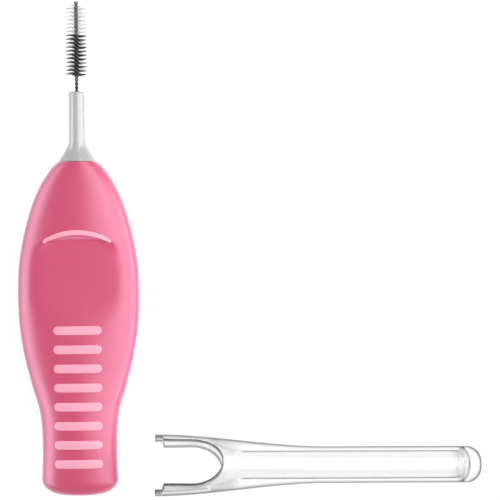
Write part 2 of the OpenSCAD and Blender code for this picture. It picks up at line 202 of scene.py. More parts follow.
# White polypropylene neck: glossy from a polished tool, a trace of grey in the melt. Its IOR too is
# above the real 1.49, for bright edges along a round rod
whitePolypropylene = mouldedPlastic("whitePolypropylene", {
    "colour": "#B3B4B4", "cloudColour": "#ADAEAE", "drift": 4.0, "grain": 0.25, "grainHeight": 0.001,
    "roughness": 0.15, "roughnessSpread": 0.03, "ior": 1.74, "softness": 0.1, "depth": 0.4,
    "sheen": 0.0, "sheenColour": "#FFFFFF", "glossColour": "#FFFFFF"})


# Drawn stainless wire: grey steel with fine lines from the die, drawn coarser than they are, and a
# darker film of drawing soap left in the lay
def drawnSteel(name, look):
    material, tree = newMaterial(name)
    place = addNode(tree, "ShaderNodeTexCoord")
    lines = addNode(tree, "ShaderNodeTexNoise", {"Scale": 1 / (look["lineWidth"] * mm), "Detail": 2.0},
                    {"Vector": place.outputs["Object"]})
    film = addNode(tree, "ShaderNodeTexNoise", {"Scale": 1 / (look["film"] * mm), "Detail": 2.0},
                   {"Vector": place.outputs["Object"]})
    colour = addNode(tree, "ShaderNodeMix", {"data_type": "RGBA", 6: linear(look["colour"]),
                     7: linear(look["filmColour"])}, {0: film.outputs["Fac"]})
    gloss = addNode(tree, "ShaderNodeMapRange", {"To Min": look["roughLeast"], "To Max": look["roughMost"]},
                    {"Value": lines.outputs["Fac"]})
    bump = addNode(tree, "ShaderNodeBump", {"Strength": 1.0, "Distance": look["lineDepth"] * mm},
                   {"Height": lines.outputs["Fac"]})
    surface = addNode(tree, "ShaderNodeBsdfPrincipled", {"Metallic": 1.0},
                      {"Base Color": colour.outputs[2], "Roughness": gloss.outputs["Result"],
                       "Normal": bump.outputs["Normal"]})
    addNode(tree, "ShaderNodeOutputMaterial", {}, {"Surface": surface.outputs["BSDF"]})
    return material


steelWire = drawnSteel("drawnSteel", {
    "colour": "#716E6C", "filmColour": "#4C4948", "lineWidth": 0.04, "lineDepth": 0.001, "film": 0.5,
    "roughLeast": 0.38, "roughMost": 0.58})


# Extruded nylon filament: round and glossy, with dye that varies a little from strand to strand
def nylonFilament(name, look):
    material, tree = newMaterial(name)
    place = addNode(tree, "ShaderNodeTexCoord")
    batch = addNode(tree, "ShaderNodeTexNoise", {"Scale": 1 / (look["batch"] * mm), "Detail": 2.0},
                    {"Vector": place.outputs["Object"]})
    colour = addNode(tree, "ShaderNodeMix", {"data_type": "RGBA", 6: linear(look["colour"]),
                     7: linear(look["otherColour"])}, {0: batch.outputs["Fac"]})
    gloss = addNode(tree, "ShaderNodeMapRange", {"To Min": look["roughLeast"], "To Max": look["roughMost"]},
                    {"Value": batch.outputs["Fac"]})
    surface = addNode(tree, "ShaderNodeBsdfPrincipled", {"IOR": 1.53,
                      "Transmission Weight": look["clearness"]},
                      {"Base Color": colour.outputs[2], "Roughness": gloss.outputs["Result"]})
    addNode(tree, "ShaderNodeOutputMaterial", {}, {"Surface": surface.outputs["BSDF"]})
    return material


darkNylon = nylonFilament("darkNylon", {"colour": "#141114", "otherColour": "#211C1F", "batch": 0.3,
                                        "roughLeast": 0.44, "roughMost": 0.56, "clearness": 0.0})
paleNylon = nylonFilament("paleNylon", {"colour": "#F6F6F6", "otherColour": "#E6E6E8", "batch": 0.3,
                                        "roughLeast": 0.14, "roughMost": 0.26, "clearness": 0.7})


# Clear polypropylene cap: polished and colourless, with faint flow ripple frozen into its skin, a grey rim
# of painted shade along the notch for the dark line that its edge shows, and painted shade at grazing edges
def clearPlastic(name, look):
    material, tree = newMaterial(name)
    place = addNode(tree, "ShaderNodeTexCoord")
    ripple = addNode(tree, "ShaderNodeTexNoise", {"Scale": 1 / (look["ripple"] * mm), "Detail": 1.0},
                     {"Vector": place.outputs["Object"]})
    haze = addNode(tree, "ShaderNodeMapRange", {"To Min": look["hazeLeast"], "To Max": look["hazeMost"]},
                   {"Value": ripple.outputs["Fac"]})
    polish = addNode(tree, "ShaderNodeAttribute", {"attribute_name": "polish"})
    rough = addNode(tree, "ShaderNodeMapRange", {"From Min": 1.0, "From Max": 0.0, "To Max": look["satin"]},
                    {"Value": polish.outputs["Fac"], "To Min": haze.outputs["Result"]})
    bump = addNode(tree, "ShaderNodeBump", {"Strength": 1.0, "Distance": look["rippleHeight"] * mm},
                   {"Height": ripple.outputs["Fac"]})

    # Painted shade: the colour turns dark where the eye grazes the skin, for the dark surroundings that the
    # clear edges reflect and refract, sooner or later by the skin's own shift
    edge = addNode(tree, "ShaderNodeLayerWeight", {"Blend": 0.5})
    shift = addNode(tree, "ShaderNodeAttribute", {"attribute_name": "grazeShift"})
    facing = addNode(tree, "ShaderNodeMath", {"operation": "ADD"}, {
        0: edge.outputs["Facing"], 1: shift.outputs["Fac"]})
    graze = addNode(tree, "ShaderNodeMapRange", {"From Min": look["edgeStart"], "From Max": look["edgeEnd"]},
                    {"Value": facing.outputs[0]})
    colour = addNode(tree, "ShaderNodeMix", {"data_type": "RGBA", 6: linear(look["colour"]),
                     7: linear(look["paintedEdgeShade"])}, {0: graze.outputs["Result"]})

    # Painted shade: a grey rim along the notch, and a skin that is frosted where it isn't polished
    cut = addNode(tree, "ShaderNodeAttribute", {"attribute_name": "cutDistance"})
    rim = addNode(tree, "ShaderNodeMapRange", {"From Min": look["rimWidth"] * (1 - look["rimBlurShare"]),
                  "From Max": look["rimWidth"] * (1 + look["rimBlurShare"]), "To Min": 1.0, "To Max": 0.0},
                  {"Value": cut.outputs["Fac"]})
    tinted = addNode(tree, "ShaderNodeMix", {"data_type": "RGBA", 7: linear(look["paintedRimShade"])},
                     {0: rim.outputs["Result"], 6: colour.outputs[2]})
    clear = addNode(tree, "ShaderNodeMapRange", {"From Min": 0.0, "From Max": 1.0, "To Min": look["frost"]},
                    {"Value": polish.outputs["Fac"]})
    surface = addNode(tree, "ShaderNodeBsdfPrincipled", {"IOR": look["ior"]},
                      {"Base Color": tinted.outputs[2], "Roughness": rough.outputs["Result"],
                       "Transmission Weight": clear.outputs["Result"], "Normal": bump.outputs["Normal"]})
    addNode(tree, "ShaderNodeOutputMaterial", {}, {"Surface": surface.outputs["BSDF"]})
    return material


# paintedEdgeShade is painted shade that darkens the clear skin at grazing edges
clearPolypropylene = clearPlastic("clearPolypropylene", {
    "colour": "#FDFDFD", "paintedEdgeShade": "#101010", "edgeStart": 0.42, "edgeEnd": 0.7, "ior": 1.49,
    "hazeLeast": 0.004, "hazeMost": 0.01, "satin": 0.4, "frost": 0.5, "ripple": 2.2,
    # paintedRimShade is a grey band of painted shade along the notch's edge
    "rippleHeight": 0.003, "rimWidth": 0.2, "rimBlurShare": 0.3, "paintedRimShade": "#8C8C8C"})


# The same plastic on the notch's cheeks and the wing's ends: matte, and painted grey as shade for the dark
# line that these faces show
def mattePlastic(name, look):
    material, tree = newMaterial(name)
    place = addNode(tree, "ShaderNodeTexCoord")
    etch = addNode(tree, "ShaderNodeTexNoise", {"Scale": 1 / (look["etch"] * mm), "Detail": 2.0},
                   {"Vector": place.outputs["Object"]})
    colour = addNode(tree, "ShaderNodeMix", {"data_type": "RGBA", 6: linear(look["colour"]),
                     7: linear(look["otherColour"])}, {0: etch.outputs["Fac"]})
    bump = addNode(tree, "ShaderNodeBump", {"Strength": 1.0, "Distance": look["etchDepth"] * mm},
                   {"Height": etch.outputs["Fac"]})
    surface = addNode(tree, "ShaderNodeBsdfPrincipled", {"IOR": look["ior"], "Roughness": look["roughness"],
                      "Transmission Weight": look["clearness"]},
                      {"Base Color": colour.outputs[2], "Normal": bump.outputs["Normal"]})
    addNode(tree, "ShaderNodeOutputMaterial", {}, {"Surface": surface.outputs["BSDF"]})
    return material


# Its grey is painted shade for the dark line along the cut faces
shutOffPolypropylene = mattePlastic("shutOffPolypropylene", {
    "colour": "#A6A6A6", "otherColour": "#8E8E8E", "etch": 0.15, "etchDepth": 0.004, "ior": 1.49,
    "roughness": 0.5, "clearness": 0.35})
print("materials made")


# Handle: width and thickness follow curves from heel to nose, with a thumb recess on both faces

gripLow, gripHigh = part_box("grip")
handle = {
    "length": (gripHigh.y - gripLow.y) / mm,
    "width": (gripHigh.x - gripLow.x) / mm,
    "thickness": 5.3,
    "restCut": 0.12,  # flat on the back that it lies on
    "noseWidth": 5.2,
    "noseThickness": 3.5,
    "noseRound": 0.08,
    "heelRound": 2.2,
    "heelDraw": 3.1,
    "heelThin": 1.1,
    "fullness": 2.05,  # 2 is an ellipse
    "heelWidthShare": 0.626,
    "heelThicknessShare": 0.86,
    "widthShares": [(0.111, 0.612), (0.18, 0.616), (0.231, 0.637), (0.269, 0.678), (0.317, 0.76),
                    (0.368, 0.836), (0.422, 0.907), (0.494, 0.97), (0.552, 0.995), (0.621, 1),
                    (0.697, 0.977), (0.783, 0.893), (0.872, 0.752), (0.935, 0.596), (0.968, 0.477),
                    (0.985, 0.405)],
    "thicknessShares": [(0.13, 0.93), (0.26, 1), (0.45, 1), (0.78, 1), (0.87, 0.92), (0.935, 0.8)],
    "partingHeight": 0.035,  # seam that the two halves of the tool leave round the edge
    "partingHalfWidth": 0.05,
    "partingFoot": 1.6,  # in half widths
    "partingGapShare": 0.0002,  # keeps the last plain point off the seam's foot
    "ringStep": 0.18, "fineStep": 0.09, "sideSteps": 56, "heelSteps": 20, "noseSteps": 6,
    "creaseAngle": 50,
}
recess = {"top": 35.8, "length": 17, "depth": 0.8, "wall": 0.7, "rim": 1.5, "fullness": 3.4,
          "middleShare": 0.32, "floorShare": 0.55, "blendShare": 0.3, "fineBelow": 2.6, "fineAbove": 0.3}
restStation = -gripLow.y / mm  # distance from the heel to the origin
restHeight = handle["thickness"] / 2 - handle["restCut"]

widthCurve = ([(handle["heelRound"], handle["heelWidthShare"] * handle["width"] / 2)]
              + [(a * handle["length"], b * handle["width"] / 2) for a, b in handle["widthShares"]]
              + [(handle["length"], handle["noseWidth"] / 2)])
thicknessCurve = ([(handle["heelRound"], handle["heelThicknessShare"] * handle["thickness"] / 2)]
                  + [(a * handle["length"], b * handle["thickness"] / 2)
                     for a, b in handle["thicknessShares"]]
                  + [(handle["length"], handle["noseThickness"] / 2)])


# Lays a point of the upright brush down: x across, y out of the back, s along from the heel
def laid(x, y, s):
    return (x, s - restStation, restHeight - y)


# How far the rounded heel draws the outline in
def drawnIn(s, draw):
    if s >= handle["heelRound"]:
        return 0
    return draw * (1 - math.sqrt(1 - (1 - s / handle["heelRound"]) ** 2))


def halfWidth(s):
    return smoothCurve(widthCurve, max(s, handle["heelRound"])) - drawnIn(s, handle["heelDraw"])


def halfThickness(s):
    return smoothCurve(thicknessCurve, max(s, handle["heelRound"])) - drawnIn(s, handle["heelThin"])


# How far the thumb recess takes the skin in, at x across, y out and s along
def dent(x, y, s):
    end = recess["top"] - recess["length"]
    middle = recess["top"] - recess["middleShare"] * recess["length"]
    run = recess["top"] - middle
    lower = float(smoothStep((s - end) / (recess["floorShare"] * recess["length"])))
    floor = handle["thickness"] / 2 - recess["depth"] * lower
    k = recess["blendShare"] * recess["depth"]
    over = np.where(y - floor >= k, y - floor, np.clip(y - floor + k, 0, None) ** 2 / (4 * k))
    if s > middle:
        p = recess["fullness"]
        reach = ((np.abs(x) / (halfWidth(s) - recess["rim"])) ** p + ((s - middle) / run) ** p) ** (1 / p)
        over = over * smoothStep((1 - reach) * run / recess["wall"])
    return over * lower


# Height of the plain skin above the middle plane
def plainSkin(x, s):
    p = handle["fullness"]
    return halfThickness(s) * (1 - min(abs(x) / halfWidth(s), 1) ** p) ** (1 / p)


# One ring of the skin: points that crowd towards the edges, with the parting seam on the edge itself
def handleRing(s):
    p = handle["fullness"]
    wide, thick = halfWidth(s), halfThickness(s)
    nose = max(s - (handle["length"] - handle["noseRound"]), 0) / handle["noseRound"]
    inset = handle["noseRound"] * (1 - math.sqrt(1 - min(nose, 1) ** 2))
    wide, thick = wide - inset, thick - inset
    shares = [math.sin(math.pi / 2 * i / handle["sideSteps"]) for i in range(handle["sideSteps"])]
    seam = [(1 - (h * handle["partingHalfWidth"] / thick) ** p) ** (1 / p)
            for h in (handle["partingFoot"], 1)]
    shares = np.array([u for u in shares if u < seam[0] - handle["partingGapShare"]] + seam + [1])
    x = shares * wide
    y = (1 - shares**p) ** (1 / p) * thick
    y = y - dent(x, y, s)
    x[-2:] += handle["partingHeight"]
    # Round from the right edge: over the front, and back along the underside
    upper = [(a, b) for a, b in zip(x[::-1], y[::-1])] + [(-a, b) for a, b in zip(x[1:], y[1:])]
    lower = [(-a, -b) for a, b in zip(x[-2::-1], y[-2::-1])] + [(a, -b) for a, b in zip(x[1:-1], y[1:-1])]
    return [(a, s - restStation, max(restHeight + b, 0)) for a, b in upper + lower]


# Where the rings stand: closer together at the recess's top edge, and in rounds at both ends
def handleStations():
    heel = [handle["heelRound"] * (1 - math.cos(math.pi / 2 * i / handle["heelSteps"]))
            for i in range(handle["heelSteps"])]
    body = []
    s = handle["heelRound"]
    while s < handle["length"] - handle["noseRound"]:
        body.append(s)
        atEdge = recess["top"] - recess["fineBelow"] < s < recess["top"] + recess["fineAbove"]
        s += handle["fineStep"] if atEdge else handle["ringStep"]
    nose = [handle["length"] - handle["noseRound"] * math.cos(math.pi / 2 * i / handle["noseSteps"])
            for i in range(handle["noseSteps"] + 1)]
    return heel + body + nose


gripMesh = cleanMesh(loftMesh("handleGrip", [handleRing(s) for s in handleStations()]),
                     handle["creaseAngle"])
handleGrip = addPiece("handleGrip", gripMesh, pinkElastomer, "brush", ["grip"])


# Raised arcs that bound the thumb recess, front and back

arc = {"width": 0.72, "span": 9.4, "radius": 8.8, "endShare": 0.75, "rise": 0.14, "floor": 1.35,
       "edgeRound": 0.12, "endRound": 0.25, "leastEndShare": 0.02, "alongSteps": 72, "acrossSteps": 16,
       "creaseAngle": 60}


# A crescent between two circles, as a closed block with a rounded top
def arcMesh(name, side):
    top = recess["top"] + arc["width"]
    half = arc["span"] / 2
    sag = arc["radius"] - math.sqrt(arc["radius"] ** 2 - half**2)
    innerSag = sag - arc["width"] * (1 - arc["endShare"])
    innerRadius = (innerSag**2 + half**2) / (2 * innerSag)
    along, across, least = arc["alongSteps"], arc["acrossSteps"], arc["leastEndShare"]
    raised, buried = [], []
    for i in range(along + 1):
        u = -math.cos(math.pi * i / along)
        x = u * half
        outer = top - arc["radius"] + math.sqrt(arc["radius"] ** 2 - x**2)
        inner = top - arc["width"] - innerRadius + math.sqrt(innerRadius**2 - x**2)
        fromEnd = min((1 - abs(u)) * half / arc["endRound"], 1)
        full = least + (1 - least) * math.sqrt(1 - (1 - fromEnd) ** 2)
        for k in range(across + 1):
            v = -math.cos(math.pi * k / across)
            s = (outer + inner) / 2 + v * full * (outer - inner) / 2
            edge = min((1 - abs(v)) * full * (outer - inner) / 2 / arc["edgeRound"], 1)
            lift = arc["rise"] * math.sqrt(1 - (1 - edge) ** 2)
            raised.append((x, s, plainSkin(x, s) + lift))
            buried.append((x, s, arc["floor"]))
    points = [laid(x, -side * y, s) for x, s, y in raised + buried]
    points = [(x, y, max(z, 0)) for x, y, z in points]
    faces, row, base = [], across + 1, len(raised)
    for i in range(along):
        for k in range(across):
            a = i * row + k
            faces.append((a, a + 1, a + row + 1, a + row))
            faces.append((base + a, base + a + row, base + a + row + 1, base + a + 1))
    rim = (list(range(across)) + [i * row + across for i in range(along)]
           + [along * row + k for k in range(across, 0, -1)] + [i * row for i in range(along, 0, -1)])
    for a, b in zip(rim, rim[1:] + rim[:1]):
        faces.append((a, b, base + b, base + a))
    return cleanMesh(meshFrom(name, points, faces), arc["creaseAngle"])


for name, side, node in (("frontArc", 1, "front_arc"), ("backArc", -1, "back_arc")):
    addPiece(name, arcMesh(name, side), palePinkElastomer, "brush", [node])


# Geometry Nodes helpers

# Starts a tree that makes its own geometry, with named inputs
def startTree(name, inputs):
    tree = bpy.data.node_groups.new(name, "GeometryNodeTree")
    tree.interface.new_socket(name="Geometry", in_out="OUTPUT", socket_type="NodeSocketGeometry")
    for label, kind in inputs.items():
        tree.interface.new_socket(name=label, in_out="INPUT", socket_type="NodeSocket" + kind)
    return tree, addNode(tree, "NodeGroupInput").outputs


# Ends a tree with real geometry in its material
def endTree(tree, geometry, material):
    real = addNode(tree, "GeometryNodeRealizeInstances", {}, {"Geometry": geometry})
    painted = addNode(tree, "GeometryNodeSetMaterial", {}, {"Geometry": real.outputs[0],
                                                            "Material": material})
    addNode(tree, "NodeGroupOutput", {}, {"Geometry": painted.outputs[0]})


# Runs a tree with its inputs set, and gives back the plain mesh
def runTree(name, tree, values):
    maker = addObject(name, bpy.data.meshes.new(name))
    modifier = maker.modifiers.new(name, "NODES")
    modifier.node_group = tree
    for item in tree.interface.items_tree:
        if item.in_out == "INPUT":
            modifier[item.identifier] = values[item.name]
    mesh = plainMesh(maker)
    mesh.name = name
    return mesh


# Raised bars down the handle: a flattened capsule on a line, dropped onto the grip

bars = {"count": 8, "pitch": 2.62, "height": 1.2, "length": 6.6, "start": 4.4, "rise": 0.14,
        "taperShare": 0.999,  # the ends never close to a point
        "rings": 49, "sides": 32, "dropFrom": 20, "creaseAngle": 80}
tree, given = startTree("raisedBars", {"Bar count": "Int", "Pitch": "Float", "First bar": "Vector",
                        "Half height": "Float", "Half straight": "Float", "Rise": "Float",
                        "Surface": "Object", "Material": "Material"})
here = addNode(tree, "GeometryNodeInputPosition")
parts = addNode(tree, "ShaderNodeSeparateXYZ", {}, {0: here.outputs[0]})

# One bar's middle line, its rings closer together towards the round ends
halfLength = addNode(tree, "ShaderNodeMath", {"operation": "ADD"},
                     {0: given["Half straight"], 1: given["Half height"]})
row = addNode(tree, "GeometryNodeCurvePrimitiveLine", {"Start": (-math.pi / 2, 0, 0),
                                                       "End": (math.pi / 2, 0, 0)})
fine = addNode(tree, "GeometryNodeResampleCurve", {"Count": bars["rings"]}, {"Curve": row.outputs[0]})
crowd = addNode(tree, "ShaderNodeMath", {"operation": "SINE"}, {0: parts.outputs["X"]})
across = addNode(tree, "ShaderNodeMath", {"operation": "MULTIPLY"}, {0: crowd.outputs[0],
                                                                      1: halfLength.outputs[0]})
spot = addNode(tree, "ShaderNodeCombineXYZ", {}, {"X": across.outputs[0]})
spread = addNode(tree, "GeometryNodeSetPosition", {}, {"Geometry": fine.outputs[0],
                                                       "Position": spot.outputs[0]})

# Its girth: even along the straight, and half a circle at each end
far = addNode(tree, "ShaderNodeMath", {"operation": "ABSOLUTE"}, {0: parts.outputs["X"]})
past = addNode(tree, "ShaderNodeMapRange", {"To Min": 0.0, "To Max": bars["taperShare"]}, {
    "Value": far.outputs[0], "From Min": given["Half straight"], "From Max": halfLength.outputs[0]})
square = addNode(tree, "ShaderNodeMath", {"operation": "POWER", 1: 2.0}, {0: past.outputs["Result"]})
rest = addNode(tree, "ShaderNodeMath", {"operation": "SUBTRACT", 0: 1.0}, {1: square.outputs[0]})
girth = addNode(tree, "ShaderNodeMath", {"operation": "SQRT"}, {0: rest.outputs[0]})
ring = addNode(tree, "GeometryNodeCurvePrimitiveCircle", {"mode": "RADIUS", "Resolution": bars["sides"]},
               {"Radius": given["Half height"]})
sausage = addNode(tree, "GeometryNodeCurveToMesh", {"Fill Caps": True}, {
    "Curve": spread.outputs[0], "Profile Curve": ring.outputs[0], "Scale": girth.outputs[0]})

# Pressed down to its rise, with a flatter top and steeper sides than a circle
high = addNode(tree, "ShaderNodeMath", {"operation": "DIVIDE"}, {0: parts.outputs["Z"],
                                                                  1: given["Half height"]})
tall = addNode(tree, "ShaderNodeMath", {"operation": "ABSOLUTE"}, {0: high.outputs[0]})
flat = addNode(tree, "ShaderNodeMath", {"operation": "POWER", 1: 0.5}, {0: tall.outputs[0]})
up = addNode(tree, "ShaderNodeMath", {"operation": "SIGN"}, {0: high.outputs[0]})
level = addNode(tree, "ShaderNodeMath", {"operation": "MULTIPLY"}, {0: flat.outputs[0], 1: up.outputs[0]})
thin = addNode(tree, "ShaderNodeMath", {"operation": "MULTIPLY"}, {0: level.outputs[0], 1: given["Rise"]})
pill = addNode(tree, "ShaderNodeCombineXYZ", {}, {0: parts.outputs["X"], 1: parts.outputs["Y"],
                                                   2: thin.outputs[0]})
capsule = addNode(tree, "GeometryNodeSetPosition", {}, {"Geometry": sausage.outputs[0],
                                                        "Position": pill.outputs[0]})

# Copies along the handle, each dropped onto the grip's skin
step = addNode(tree, "ShaderNodeCombineXYZ", {}, {"Y": given["Pitch"]})
line = addNode(tree, "GeometryNodeMeshLine", {}, {"Count": given["Bar count"],
               "Start Location": given["First bar"], "Offset": step.outputs[0]})
placed = addNode(tree, "GeometryNodeInstanceOnPoints", {}, {"Points": line.outputs[0],
                                                            "Instance": capsule.outputs[0]})
loose = addNode(tree, "GeometryNodeRealizeInstances", {}, {"Geometry": placed.outputs[0]})
skin = addNode(tree, "GeometryNodeObjectInfo", {"transform_space": "RELATIVE"}, {"Object": given["Surface"]})
above = addNode(tree, "ShaderNodeCombineXYZ", {"Z": bars["dropFrom"] * mm}, {
    "X": parts.outputs["X"], "Y": parts.outputs["Y"]})
drop = addNode(tree, "GeometryNodeRaycast", {"Ray Length": 2 * bars["dropFrom"] * mm}, {
    "Target Geometry": skin.outputs["Geometry"], "Source Position": above.outputs[0]})
lift = addNode(tree, "ShaderNodeCombineXYZ", {}, {"Z": parts.outputs["Z"]})
landed = addNode(tree, "ShaderNodeVectorMath", {"operation": "ADD"}, {0: drop.outputs["Hit Position"],
                                                                      1: lift.outputs[0]})
seated = addNode(tree, "GeometryNodeSetPosition", {}, {"Geometry": loose.outputs[0],
                                                       "Position": landed.outputs[0]})
endTree(tree, seated.outputs[0], given["Material"])
barMesh = runTree("gripBars", tree, {
    "Bar count": bars["count"], "Pitch": bars["pitch"] * mm,
    "First bar": (0, (bars["start"] - restStation) * mm, 0), "Half height": bars["height"] / 2 * mm,
    "Half straight": (bars["length"] - bars["height"]) / 2 * mm, "Rise": bars["rise"] * mm,
    "Surface": handleGrip, "Material": palePinkElastomer})
addPiece("gripBars", cleanMesh(barMesh, bars["creaseAngle"]), None, "brush", ["grip_bars"])


# White core: neck, collar and rod in one skin, and the tang that the grip is moulded round

core = {"neckLength": 9.6, "neckWidth": 2.2, "collarLength": 2.8, "chamfer": 0.18, "rodWidth": 2,
        "tangSetback": 6, "tangLength": 26, "tangWidth": 7, "tangThickness": 1.4, "lockCount": 3,
        "lockWidth": 3, "holeWidth": 0.54, "chamberWidth": 0.88, "foldStation": 51.1,
        "chamberLength": 2.4, "seamInset": 0.02, "seamFade": 8, "collarCurve": 1.2, "collarFillet": 0.12,
        "blendLength": 1.2, "edgeRun": 0.03, "edgeInset": 0.01, "tipRun": 0.015, "tipInset": 0.02,
        "sides": 96, "collarSteps": 24, "blendSteps": 6, "creaseAngle": 40,
        "tangEdge": 0.1, "tangEdgeSteps": 2, "tangPoints": 64, "lockPoints": 40}
neckEnd = handle["length"] + core["neckLength"]
tangEnd = handle["length"] - core["tangSetback"]


# A ring of the core: an ellipse, or a fuller form of one
def coreRing(s, wide, deep, power=2.0):
    ring = []
    for k in range(core["sides"]):
        a = 2 * math.pi * k / core["sides"]
        c, d = math.cos(a), math.sin(a)
        ring.append(laid(wide * math.copysign(abs(c) ** (2 / power), c),
                         deep * math.copysign(abs(d) ** (2 / power), d), s))
    return ring


# The skin runs out of the grip over the rod, collar and neck to the tip, and back in down the wire's hole
def neckMesh():
    rod, neck, seam = core["rodWidth"] / 2, core["neckWidth"] / 2, handle["length"]
    rings = [coreRing(tangEnd - core["rodWidth"], rod, rod), coreRing(seam, rod, rod)]
    soft = core["collarFillet"]
    for i in range(core["collarSteps"] + 1):  # collar, from the oval seam down to the round neck
        u = i / core["collarSteps"]
        inset = core["seamInset"] * (1 - min(u * core["seamFade"], 1))
        blend = (1 - u) ** core["collarCurve"]
        wide = rod + (handle["noseWidth"] / 2 - rod) * blend - inset
        deep = rod + (handle["noseThickness"] / 2 - rod) * blend - inset
        # The larger of the two, with a soft change from collar to neck
        wide = (wide + neck + math.sqrt((wide - neck) ** 2 + soft**2)) / 2
        deep = (deep + neck + math.sqrt((deep - neck) ** 2 + soft**2)) / 2
        rings.append(coreRing(seam + u * core["collarLength"], wide, deep,
                              2 + (handle["fullness"] - 2) * (1 - u)))
    for i in range(1, core["blendSteps"] + 1):
        u = i / core["blendSteps"]
        r = rings[-1][0][0] + (neck - rings[-1][0][0]) * u
        rings.append(coreRing(seam + core["collarLength"] + u * core["blendLength"], r, r))
    edge, tip = neckEnd - core["chamfer"], neck - core["chamfer"]
    hole, chamber = core["holeWidth"] / 2, core["chamberWidth"] / 2
    chamberTop = core["foldStation"] + core["chamberLength"]
    for s, r in ((edge - core["edgeRun"], neck), (edge, neck - core["edgeInset"]),
                 (neckEnd - core["tipRun"], tip + core["tipInset"]), (neckEnd, tip), (neckEnd, hole),
                 (chamberTop, hole), (chamberTop, chamber), (core["foldStation"] - chamber, chamber)):
        rings.append(coreRing(s, r, r))
    return cleanMesh(loftMesh("neckCore", rings), core["creaseAngle"])


# The flat plate inside the grip, with the holes that lock the grip to it
def tangMesh():
    soft = core["tangEdge"]
    curve = bpy.data.curves.new("coreTang", "CURVE")
    curve.dimensions = "2D"
    curve.fill_mode = "BOTH"
    curve.extrude = (core["tangThickness"] / 2 - soft) * mm
    curve.bevel_depth = soft * mm
    curve.bevel_resolution = core["tangEdgeSteps"]
    half, r = core["tangWidth"] / 2 - soft, core["tangWidth"] / 4
    low, high = tangEnd - core["tangLength"] + soft, tangEnd - soft
    outline = []
    for k in range(core["tangPoints"]):  # rounded rectangle
        a = 2 * math.pi * k / core["tangPoints"]
        x, y = math.cos(a), math.sin(a)
        outline.append((x * r + math.copysign(half - r, x), y * r + (high - r if y > 0 else low + r)))
    holes = []
    for i in range(core["lockCount"]):
        middle = tangEnd - core["tangLength"] * (i + 1) / (core["lockCount"] + 1)
        turns = [-2 * math.pi * k / core["lockPoints"] for k in range(core["lockPoints"])]
        holes.append([(math.cos(a) * (core["lockWidth"] / 2 + soft),
                       middle + math.sin(a) * (core["lockWidth"] / 2 + soft)) for a in turns])
    for loop in [outline] + holes:
        spline = curve.splines.new("POLY")
        spline.points.add(len(loop) - 1)
        spline.points.foreach_set("co", [c for x, y in loop for c in (x * mm, y * mm, 0, 1)])
        spline.use_cyclic_u = True
    mesh = plainMesh(addObject("coreTang", curve))
    mesh.transform(Matrix.Translation((0, -restStation * mm, restHeight * mm)))
    return cleanMesh(mesh, core["creaseAngle"])


addPiece("neckCore", neckMesh(), whitePolypropylene, "brush", ["neck_core"])
addPiece("coreTang", tangMesh(), whitePolypropylene, "brush", ["neck_core"])


# Twisted wire: one wire folded in half, its two legs twisted left-handed over the filaments

wire = {"width": 0.24, "pitch": 1.06, "bareLength": 2.2, "tipLength": 0.45, "anchorLength": 2.1,
        "loopLength": 2.4, "loopRadius": 0.3, "gap": 0.01, "filament": 0.08, "stepsPerTwist": 22,
        "loopSteps": 14, "sides": 12, "creaseAngle": 40}
brushHead = {"darkLength": 5.75, "paleLength": 4.05, "width": 2.9}
darkStart = neckEnd + wire["bareLength"]
paleStart = darkStart + brushHead["darkLength"]
paleEnd = paleStart + brushHead["paleLength"]
tipEnd = paleEnd + wire["tipLength"]


# How far the legs have turned at a station
def twistAngle(s):
    return -2 * math.pi * (s - darkStart) / wire["pitch"]


# How far a leg's line lies from the middle: closed by the twist, open round the anchoring loop
def legRadius(s):
    closed = wire["width"] / 2 + wire["gap"]
    twistStart = neckEnd - wire["anchorLength"]
    if s < twistStart:
        return closed + (wire["loopRadius"] - closed) * smoothStep(2 * (twistStart - s) / wire["loopLength"])
    return closed + wire["filament"] / 2 * smoothStep((s - darkStart) / wire["pitch"] + 1)


# The wire's own line: down one leg, round the fold and up the other
def wirePath():
    twistStart, steps = neckEnd - wire["anchorLength"], wire["loopSteps"]
    count = math.ceil(wire["stepsPerTwist"] * (tipEnd - twistStart) / wire["pitch"])
    stations = [tipEnd - (tipEnd - twistStart) * i / count for i in range(count + 1)]
    stations += [twistStart - wire["loopLength"] * i / steps for i in range(1, steps + 1)]

    def leg(s, side):
        a = twistAngle(max(s, twistStart))
        return (side * legRadius(s) * math.cos(a), side * legRadius(s) * math.sin(a), s)

    a = twistAngle(twistStart)
    fold = []
    for i in range(1, steps):
        t = math.pi * i / steps
        out = wire["loopRadius"] * math.cos(t)
        fold.append((out * math.cos(a), out * math.sin(a), stations[-1] - wire["loopRadius"] * math.sin(t)))
    return [leg(s, 1) for s in stations] + fold + [leg(s, -1) for s in reversed(stations)]


tree, given = startTree("sweptWire", {"Path": "Object", "Wire radius": "Float", "Sides": "Int",
                                      "Material": "Material"})
path = addNode(tree, "GeometryNodeObjectInfo", {"transform_space": "RELATIVE"},
               {"Object": given["Path"]})
ring = addNode(tree, "GeometryNodeCurvePrimitiveCircle", {"mode": "RADIUS"},
               {"Resolution": given["Sides"], "Radius": given["Wire radius"]})
swept = addNode(tree, "GeometryNodeCurveToMesh", {"Fill Caps": True}, {
    "Curve": path.outputs["Geometry"], "Profile Curve": ring.outputs[0]})
endTree(tree, swept.outputs[0], given["Material"])
pathCurve = bpy.data.curves.new("wirePath", "CURVE")
pathCurve.dimensions = "3D"
pathSpline = pathCurve.splines.new("POLY")
pathPoints = [laid(*p) for p in wirePath()]
pathSpline.points.add(len(pathPoints) - 1)
pathSpline.points.foreach_set("co", [c for x, y, z in pathPoints for c in (x * mm, y * mm, z * mm, 1)])
pathObject = addObject("wirePath", pathCurve)
wireMesh = runTree("twistedWire", tree, {"Path": pathObject, "Wire radius": wire["width"] / 2 * mm,
                                         "Sides": wire["sides"], "Material": steelWire})
bpy.data.objects.remove(pathObject)
addPiece("twistedWire", cleanMesh(wireMesh, wire["creaseAngle"]), None, "brush", ["stem_wire"])


# Filaments: strands clamped between the legs, each one turned on with the twist

